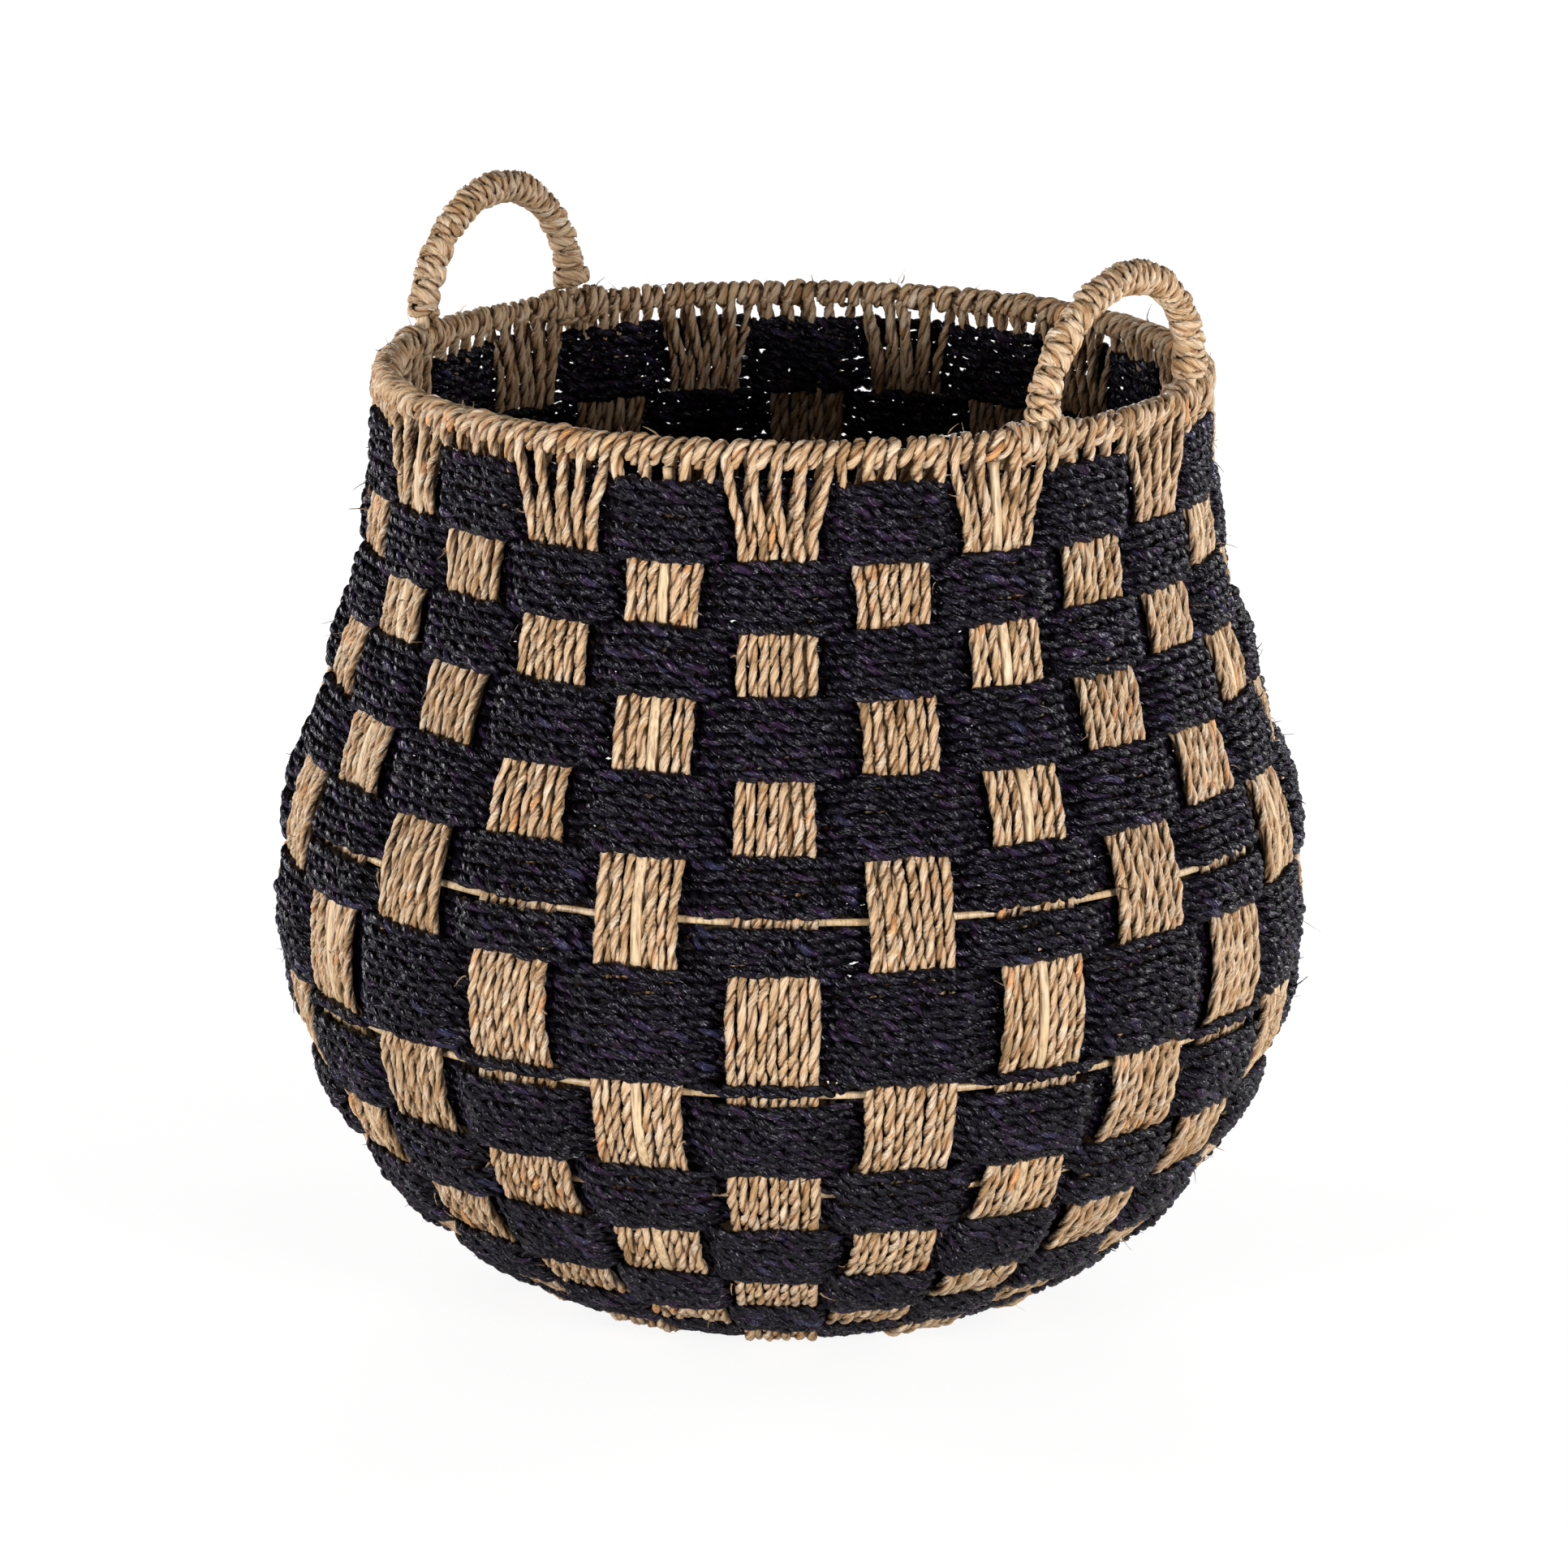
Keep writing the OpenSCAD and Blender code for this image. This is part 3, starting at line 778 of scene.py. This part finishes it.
def stake(k, turns):
    """The cords of one stake, from the base up. Front cords go over the rim. The back cords between
    them end inside it, and each adds a turn to turns."""
    rng = seeded("stake", k)
    cords = Cords(rng, NATURAL_PLY)
    ribbed = has_rib(k)
    count = RIBBED_CORDS if ribbed else PLAIN_CORDS
    front = np.arange(count) % 2 == 0
    if ribbed:
        front[count // 2:] = ~front[count // 2:]
    late = rng.choice(np.flatnonzero(~front), 2, replace=False)
    if ribbed:  # one on each side of the rib
        late = [rng.choice([1, 3]), rng.choice([4, 6])]
    s = np.concatenate([np.arange(WALL_END + TUCK, NECK, -STAKE_STEP),
                        np.arange(NECK, NECK_TOP, -NECK_STEP)])
    share, place = cord_places(s, front, late, ribbed, rng)
    middle_out = stake_out(k, s)
    angle = stake_angle(k)
    away = outward(s, angle)
    free = 1 - eased(s, *RIM_FREE)
    rim_step = math.radians(STEP) * RIM_R / count
    for j in range(count):
        rim_place = (j + 0.5 - count / 2) * rim_step + RIM_JITTER * rng.normal()
        aside = roughened(place[j], s, ASIDE_WAVES, rng)
        drop = DROP * (1 - share[j]) + (0 if front[j] else BACK_DROP)
        out = roughened(middle_out - drop, s, OUT_WAVES, rng)
        if front[j]:
            keep, at_rim, lift, ref = s > FRONT_TOP, rim_place + FRONT_ASIDE, RIM_LIFT, away
            over, over_ref = coil(angle, rim_place, *FRONT_TURN, lean=0.5 * rng.normal())
        else:
            keep, at_rim, lift, ref = s > BACK_TOP, rim_place + BACK_ASIDE, -RIM_LIFT, -away
            over, over_ref = coil(angle, rim_place, *BACK_TURN)
            second_turn(angle, rim_place, turns, rng)
        path = on_wall(s, angle, out + lift * free, aside * (1 - free) + at_rim * free)
        thick = np.concatenate([1 + 0.08 * free[keep], np.full(len(over), 1.12)])
        # Painted shade on the cords' sides, lighter on the turns over the rim
        shade = np.concatenate([np.ones(keep.sum()), np.full(len(over), RIM_SHADE)])
        radius = NATURAL_R * (1 + 0.05 * rng.normal()) * thick
        cords.add(np.vstack([path[keep], over]), np.vstack([ref[keep], over_ref]), radius,
                  NATURAL_LAY * rng.uniform(0.82, 1.18), flat=0.98, loose=0.14, shade=shade)
    cords.build(f"stake_{k + 1}_cords", STRAW, [f"stake_{k + 1}"])


def rib(k, number):
    """The cane up the middle of stake k."""
    s = np.arange(WALL_END + TUCK, NECK_TOP - 1, -float(STAKE_STEP))
    angle = stake_angle(k)
    out = stake_out(k, s) - RIB_IN - RIB_TOP_IN * (1 - eased(s, *RIB_RISES))
    path = on_wall(s, angle, out, roughened(0, s, [RIB_WAVE], seeded("rib", k)))
    stick(f"cane_rib_{number}_cane", path, outward(s, angle), RIB_W, RIB_THICK, f"cane_rib_{number}")


def band_cords(band):
    """The rounds of black cord of one band. Each starts behind a stake that passes outside it."""
    rng = seeded("band", band)
    cords = Cords(rng, BLACK_PLY)
    rounds = ROUNDS[band - 1]
    more_out = BELLY_STAND if band in BELLY_BANDS else END_STAND
    ring_step = ROUND_STEP if rounds < TALL_ROUNDS else TALL_STEP
    hoop = dict(HOOPS).get(band)
    hidden = [k for k in range(STAKES) if side(k, band) == -1]
    for i in range(rounds):
        if i == hoop:
            continue
        start = FIRST_STAKE + STEP * rng.choice(hidden)
        t = np.arange(0, 1, 0.5 / 360)
        angle = start + 360 * t
        stake_at = np.round((angle - FIRST_STAKE) / STEP)
        here = np.where((stake_at + band) % 2 == 0, 1.0, -1.0)
        far = np.abs((angle - FIRST_STAKE) / STEP - stake_at)
        s0 = band_top(band) + (i + 0.5) * ROUND_PITCH
        half = float(stake_width(s0)) / 2 / (math.radians(STEP) * float(wall(s0)[0]))
        ease = np.clip((far - (half - EARLY)) / (0.5 + EARLY - half), 0, 1)
        swing = here * np.cos(np.pi / 2 * ease)
        depth = (i + 0.5) / rounds
        stand = ROUND_OUT + more_out * math.sin(np.pi * depth)
        out = np.where(swing > 0, swing * stand, swing * ROUND_IN)
        out = roughened(out, t, ROUND_OUT_WAVES, rng, wave)
        if band == BANDS[-1]:
            out = np.minimum(out, FOOT_STAND)
        beside = 0.0
        if hoop is not None:
            near = HOOP_CLOSED[band] * math.exp((1 - abs(hoop - i)) / HOOP_FADE)
            beside = math.copysign(near, hoop - i)
        lap = (2 * depth - 1) * LAP * swing ** 2
        s = roughened(s0 + lap + beside * np.abs(swing), t, ROUND_WAVES, rng, wave)
        a = np.radians(angle)
        cords.add(on_wall(s, a, out), outward(s, a), BLACK_R * (1 + 0.04 * rng.normal()),
                  BLACK_LAY * rng.uniform(0.88, 1.12), step=ring_step, closed=True, flat=0.87,
                  loose=0.18)
    cords.build(f"weft_band_{band}_cords", INK, [f"weft_band_{band}"])


def hoop_cane(number):
    """A cane hoop in the place of one round of its band, close inside the stakes."""
    band, i = HOOPS[number - 1]
    t = np.arange(0, 1, 1 / 360)
    s = band_top(band) + (i + 0.5) * ROUND_PITCH
    s = roughened(s, t, [HOOP_WAVE], seeded("hoop", number), wave)
    out = HOOP_IN - NATURAL_R - HOOP_D / 2
    stick(f"cane_hoop_{number}_cane", on_wall(s, TAU * t, out), outward(s, TAU * t), HOOP_D,
          HOOP_D * HOOP_FLAT, f"cane_hoop_{number}", closed=True)


turns = Cords(seeded("rim"), NATURAL_PLY)
for k in range(STAKES):
    stake(k, turns)
turns.build("rim_wrapping_cords", STRAW, ["rim_wrapping"])
for number, k in enumerate([k for k in range(STAKES) if has_rib(k)], 1):
    rib(k, number)
for band in BANDS:
    band_cords(band)
for number in range(1, len(HOOPS) + 1):
    hoop_cane(number)
rim_hoop = bpy.data.objects["rim_hoop"].data
rim_hoop.materials.clear()
rim_hoop.materials.append(PALE)


# Handles

def arch(name, shift, widen, pinch, lean, rise):
    """Middle line of a handle, from one foot to the other: moved along the rim by shift, widened,
    pinched in at the shoulders, leaning out at the top by lean and raised there by rise."""
    low, high = (np.array(corner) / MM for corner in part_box("handle_core_" + name))
    thick = high[0] - low[0]
    x = (low[0] + high[0]) / 2
    radius = (high[1] - low[1] - thick) / 2
    z = high[2] - thick / 2 - radius
    under = math.asin((z - low[2] - thick / 2) / radius)
    phi = np.linspace(-under, math.pi + under, ARCH_POINTS)
    up = np.clip(np.sin(phi), 0, 1)
    wide = widen - pinch * np.sin(2 * np.clip(phi, 0, math.pi)) ** 2
    return np.stack([x + math.copysign(1, x) * lean * up, shift + radius * np.cos(phi) * wide,
                     z + radius * np.sin(phi) + rise * up], -1)


def winding(path, s0, s1, pitch, away, tilt, start):
    """A helix round a path, and the directions away from it. away(s) is its radius."""
    theta = np.arange(0, (s1 - s0) / pitch * TAU, TAU / WINDING_POINTS)
    s = s0 + pitch * theta / TAU
    radius = away(s)
    s = s + tilt * radius * np.cos(theta + start)
    along = distances(path)
    t = unit(np.gradient(path, axis=0))
    n = unit(np.cross(t, (1.0, 0, 0)))
    p, t, n = values_at(s, along, path), unit(values_at(s, along, t)), unit(values_at(s, along, n))
    ref = n * np.cos(theta + start)[:, None] + np.cross(t, n) * np.sin(theta + start)[:, None]
    return p + ref * radius[:, None], ref


def handle(name, **shape):
    """A handle: its cane, the wrapping round it, and the second layer and ties at its feet."""
    rng = seeded("handle", len(name))
    path = arch(name, **shape)
    total = distances(path)[-1]
    lumpy = rng.uniform(0, TAU, 2)

    def around(s):
        """Radius of the wrapping, thicker over the top and at the feet."""
        foot = np.minimum(s, total - s)
        more = FOOT_MORE * (1 - eased(foot, *FOOT_ENDS)) + TOP_MORE * eased(foot, *TOP_STARTS)
        lumps = [WRAP_LUMP * np.sin(s / length + phase) for length, phase in zip(LUMP_WAVES, lumpy)]
        return WRAP_R + more + lumps[0] + lumps[1]

    def around_wrapping(s):
        return around(s) + FOOT_OUT

    cords = Cords(rng, NATURAL_PLY)
    p, ref = winding(path, WRAP_LOW, total - WRAP_LOW, WRAP_PITCH, around, tilt=0.3, start=0.6)
    radius = WRAP_CORD_R * (1 + 0.08 * wander(np.arange(len(p)), 40, rng))
    # Painted shade on the sides of the wrapping cord, lighter than on a stake
    cords.add(p, ref, radius, WRAP_LAY, flat=WRAP_FLAT, loose=0.2, step=HANDLE_STEP, shade=0.45)
    cords.build(f"handle_wrapping_{name}_cords", STRAW, [f"handle_wrapping_{name}"])

    binding = Cords(rng, NATURAL_PLY)
    for end in (0, 1):
        reach = WRAP_LOW + rng.uniform(*FOOT_REACH)
        a, b = (WRAP_LOW, reach) if end == 0 else (total - reach, total - WRAP_LOW)
        p, ref = winding(path, a, b, rng.uniform(*FOOT_PITCH), around_wrapping, tilt=-0.5,
                         start=rng.uniform(0, TAU))
        # Painted shade on the sides of the foot binding, lighter than on a stake
        binding.add(p, ref, FOOT_CORD_R, FOOT_LAY, flat=FOOT_FLAT, loose=0.2, step=HANDLE_STEP,
                    shade=0.3)
    add_ties(binding, path, rng)
    binding.build(f"handle_foot_binding_{name}_cords", STRAW, [f"handle_foot_binding_{name}"])
    stick(f"handle_core_{name}_cane", path, (1.0, 0, 0), CORE_D, CORE_D, f"handle_core_{name}",
          step=CORE_STEP)


def add_ties(cords, path, rng):
    """Slanting loops round the rim that tie a handle's two feet to it."""
    turn = np.radians(np.arange(-150, 211, 12))
    for foot in (path[0], path[-1]):
        angle = math.atan2(foot[1], foot[0])
        for aside in TIE_PLACES:
            slant = TIE_SLANT * np.sign(aside) * np.sin(turn / 2 + math.radians(45))
            away = COIL_R + TIE_OUT + 0.5 * rng.uniform()
            p, ref = round_rim(turn, angle + (aside + slant) / RIM_R, away)
            # Painted shade on the sides of the ties, lighter than on a stake
            cords.add(p, ref, TIE_CORD_R, TIE_LAY, flat=TIE_FLAT, loose=0.15, step=HANDLE_STEP,
                      shade=0.5)


handle("left", shift=3.6, widen=1.0, pinch=0.03, lean=0.0, rise=1.5)
handle("right", shift=1.2, widen=1.05, pinch=0.0, lean=4.0, rise=0.0)


# Base

def base_strips(name, crossways):
    """Strips of five cords, over one crossing and under the next."""
    rng = seeded("base", crossways)
    turn = math.radians(FIRST_STAKE + STEP / 2)
    cords = Cords(rng, NATURAL_PLY)
    for i in range(STRIPS):
        up = -1 if (i + crossways) % 2 else 1
        y = (i - (STRIPS - 1) / 2) * STRIP_PITCH
        for j in range(STRIP_CORDS):
            v = y + (j - (STRIP_CORDS - 1) / 2) * STRIP_W / STRIP_CORDS
            half = math.sqrt(STRIP_END_R ** 2 - min(abs(v), STRIP_END_R - 5) ** 2) - 1
            u = np.arange(-half, half + 0.1, STRIP_STEP)
            phase = np.pi * (u / STRIP_PITCH + STRIPS / 2 - 0.5)
            over = np.clip(BASE_STEEP * np.cos(phase), -1, 1) * up
            end = smooth((half - np.abs(u)) / STRIP_BEND)
            z = BASE_MID + BASE_RISE * over * end + BASE_END_LIFT * (1 - end)
            z = roughened(z, u, [STRIP_Z_WAVE], rng)
            w = roughened(v, u, [STRIP_WAVE], rng)
            a, b = (w, u) if crossways else (u, w)
            p = np.stack([a * math.cos(turn) - b * math.sin(turn),
                          a * math.sin(turn) + b * math.cos(turn), np.maximum(z, BASE_LOW)], -1)
            cords.add(p, (0, 0, 1.0), BASE_CORD_R, NATURAL_LAY * rng.uniform(0.85, 1.15),
                      flat=BASE_FLAT, loose=0.06)
    cords.build(name + "_cords", STRAW, [name])


base_strips("base_strips_lengthways", False)
base_strips("base_strips_crossways", True)


# Loose fibres

def fibre(cords, rng, start, heading, length, thick):
    """A short curling fibre that stands off a cord."""
    t = np.linspace(0, 1, FIBRE_POINTS)[:, None]
    heading = unit(heading)
    curl = np.cross(heading, rng.normal(size=3)) * FIBRE_CURL
    path = start + length * (heading * t + curl * t ** 2)
    path[:, 2] = np.maximum(path[:, 2], FIBRE_LOW)
    taper = thick * (1 - FIBRE_TAPER * t[:, 0])
    cords.add(path, np.cross(heading, curl + 0.01), taper, FIBRE_LAY,
              step=length / (FIBRE_POINTS - 1), flat=rng.uniform(0.3, 0.8), loose=0.1, shade=0.0)


def from_wall(s, angle, out, aside=0.0):
    """A point off the wall, and the directions away from the wall and along it."""
    start = on_wall(np.array([s]), angle, out, aside)[0]
    return start, outward(np.array([s]), angle)[0], np.array([-math.sin(angle), math.cos(angle), 0])


def black_fibres(count):
    """Loose fibres on the black crossings."""
    rng = seeded("black_fibres")
    cords = Cords(rng, BLACK_PLY)
    tops = [band_top(band) for band in BANDS[1:]]
    for _ in range(count):
        s = rng.uniform(TOP_GAP + 1, WALL_END - 45)
        band = 1 + int(np.searchsorted(tops, s, "right"))
        k = rng.choice([k for k in range(STAKES) if side(k, band) == 1])
        angle = stake_angle(k) + math.radians(rng.uniform(-0.36, 0.36) * STEP)
        start, away, along = from_wall(s, angle, 4.6)
        heading = away * rng.uniform(0.1, 0.8) + along * rng.uniform(-1, 1)
        heading = heading + 0.3 * rng.normal(size=3)
        fibre(cords, rng, start, heading, length=rng.uniform(1.5, 5), thick=rng.uniform(0.2, 0.6))
    cords.build("loose_black_fibres", INK)


def natural_fibres(count):
    """Loose fibres on the natural crossings, many at their edges, and a third as many on the rim."""
    rng = seeded("natural_fibres")
    cords = Cords(rng, NATURAL_PLY)
    for _ in range(count):
        k = rng.integers(STAKES)
        band = rng.choice([b for b in BANDS if side(k, b) == -1])
        edge = rng.choice([-1, 1])
        s = rng.uniform(band_top(band) + 2, band_top(band + 1) - 2)
        at_edge = rng.uniform() < 0.4
        aside = (edge / 2 if at_edge else rng.uniform(-0.5, 0.5)) * float(stake_width(s))
        start, away, along = from_wall(s, stake_angle(k), 3.0, aside)
        heading = away * rng.uniform(0.1, 0.5) + along * rng.uniform(-0.6, 0.6)
        heading = heading + 0.6 * rng.normal(size=3)
        fibre(cords, rng, start, heading, length=rng.uniform(2, 6), thick=rng.uniform(0.15, 0.55))
    for _ in range(count // 3):
        angle, turn = rng.uniform(0, TAU), math.radians(rng.uniform(-40, 160))
        start, away = round_rim(turn, angle, COIL_R + 2)
        heading = away * 0.5 + rng.normal(size=3)
        fibre(cords, rng, start, heading, length=rng.uniform(2, 6), thick=rng.uniform(0.15, 0.5))
    cords.build("loose_natural_fibres", STRAW)


black_fibres(BLACK_FIBRES)
natural_fibres(NATURAL_FIBRES)


# Stage. Distances here are metres

VIEW_TURN, VIEW_RISE, VIEW_ROLL = 37.0, 14.98, 0.18
VIEW_AWAY, LOOK_ASIDE, LOOK_UP = 2.8117, -0.0033, 0.2131
SENSOR, LENS = 36.0, 152.78

# Soft square lamps: name, turn from the camera's side and rise in degrees, distance, size, watts
LAMPS = (("key", 40, 6, 2.2, 0.6, 53), ("fill", -46, 4, 2.2, 0.6, 46),
         ("right_side", 112, 8, 2.3, 0.8, 25), ("left_side", -112, 8, 2.3, 0.8, 27),
         ("back", 178, 8, 2.5, 0.9, 36), ("top", 10, 70, 2.2, 0.9, 2))
LAMP_LIFT, LAMP_TARGET = 0.25, Vector((0, 0, 0.22))
WORLD_LIGHT = 0.075

# Floor: half its size, its colour, and how far from the middle of the base it is left dark,
# because no light gets to it there
FLOOR_HALF = 6
FLOOR_COLOR = (0.9, 0.9, 0.9, 1)
UNDER_BASE_R = 0.09

# What the camera sees of the floor: how much of it is white glow near the basket, where the rest
# is lit and keeps the shadow, and the distances over which it becomes all glow
GLOW, NEAR_GLOW = 1.08, 0.8
NEAR, FAR = 0.5, 1.2


def direction(turn, rise):
    """The direction from the basket to something at turn and rise, in degrees."""
    a, e = math.radians(turn), math.radians(rise)
    return Vector((math.sin(a) * math.cos(e), -math.cos(a) * math.cos(e), math.sin(e)))


def aim(obj, target):
    obj.rotation_mode = "QUATERNION"
    obj.rotation_quaternion = (target - obj.location).to_track_quat("-Z", "Y")


def camera():
    turn = math.radians(VIEW_TURN)
    across = Vector((math.cos(turn), math.sin(turn), 0))
    target = across * LOOK_ASIDE + Vector((0, 0, LOOK_UP))
    data = bpy.data.cameras.new("camera")
    data.sensor_width = SENSOR
    data.lens = LENS
    cam = new_object("camera", data)
    cam.location = target + direction(VIEW_TURN, VIEW_RISE) * VIEW_AWAY
    aim(cam, target)
    cam.rotation_quaternion = cam.rotation_quaternion @ Quaternion((0, 0, 1), math.radians(VIEW_ROLL))
    bpy.context.scene.camera = cam


def lamp(name, turn, rise, away, size, watts):
    data = bpy.data.lights.new(name, "AREA")
    data.shape = "SQUARE"
    data.size = size
    data.energy = watts
    obj = new_object(name, data)
    obj.location = direction(VIEW_TURN + turn, rise) * away
    obj.location.z += LAMP_LIFT
    aim(obj, LAMP_TARGET)


def world():
    """A little light from all sides, and white where the camera looks past the floor."""
    studio = bpy.data.worlds.new("studio")
    bpy.context.scene.world = studio
    studio.use_nodes = True
    tree = studio.node_tree
    light = tree.nodes["Background"]
    light.inputs["Color"].default_value = (1, 1, 1, 1)
    light.inputs["Strength"].default_value = WORLD_LIGHT
    white = tree.nodes.new("ShaderNodeBackground")
    white.inputs["Strength"].default_value = 1.0
    path = tree.nodes.new("ShaderNodeLightPath")
    mix = tree.nodes.new("ShaderNodeMixShader")
    for number, source in enumerate((path.outputs["Is Camera Ray"], light.outputs[0], white.outputs[0])):
        tree.links.new(source, mix.inputs[number])
    tree.links.new(mix.outputs[0], tree.nodes["World Output"].inputs["Surface"])


def floor():
    """A pale floor that keeps the basket's soft shadow and is white further off."""
    me = bpy.data.meshes.new("floor")
    corners = [(x * FLOOR_HALF, y * FLOOR_HALF, 0) for x, y in ((-1, -1), (1, -1), (1, 1), (-1, 1))]
    me.from_pydata(corners, [], [(0, 1, 2, 3)])
    obj = new_object("floor", me)
    m = Nodes("pale_floor")
    m.shader.inputs["Base Color"].default_value = FLOOR_COLOR
    m.shader.inputs["Roughness"].default_value = 0.8
    glow = m.add("Emission")
    glow.inputs["Strength"].default_value = GLOW
    length = m.add("VectorMath", operation="LENGTH")
    m.link(m.add("TexCoord").outputs["Object"], length.inputs[0])
    away = length.outputs["Value"]
    share = m.add("MapRange")
    m.link(away, share.inputs["Value"])
    for socket, value in (("From Min", NEAR), ("From Max", FAR), ("To Min", NEAR_GLOW), ("To Max", 1)):
        share.inputs[socket].default_value = value
    camera_ray = m.add("LightPath").outputs["Is Camera Ray"]
    seen = m.math("MULTIPLY", camera_ray, m.math("GREATER_THAN", away, UNDER_BASE_R))
    mix = m.add("MixShader")
    shown = m.math("MULTIPLY", seen, share.outputs["Result"])
    for number, source in enumerate((shown, m.shader.outputs[0], glow.outputs[0])):
        m.link(source, mix.inputs[number])
    m.link(mix.outputs[0], m.tree.nodes["Material Output"].inputs["Surface"])
    me.materials.append(m.material)


camera()
world()
floor()
for row in LAMPS:
    lamp(*row)
bpy.context.scene.view_settings.view_transform = "Standard"
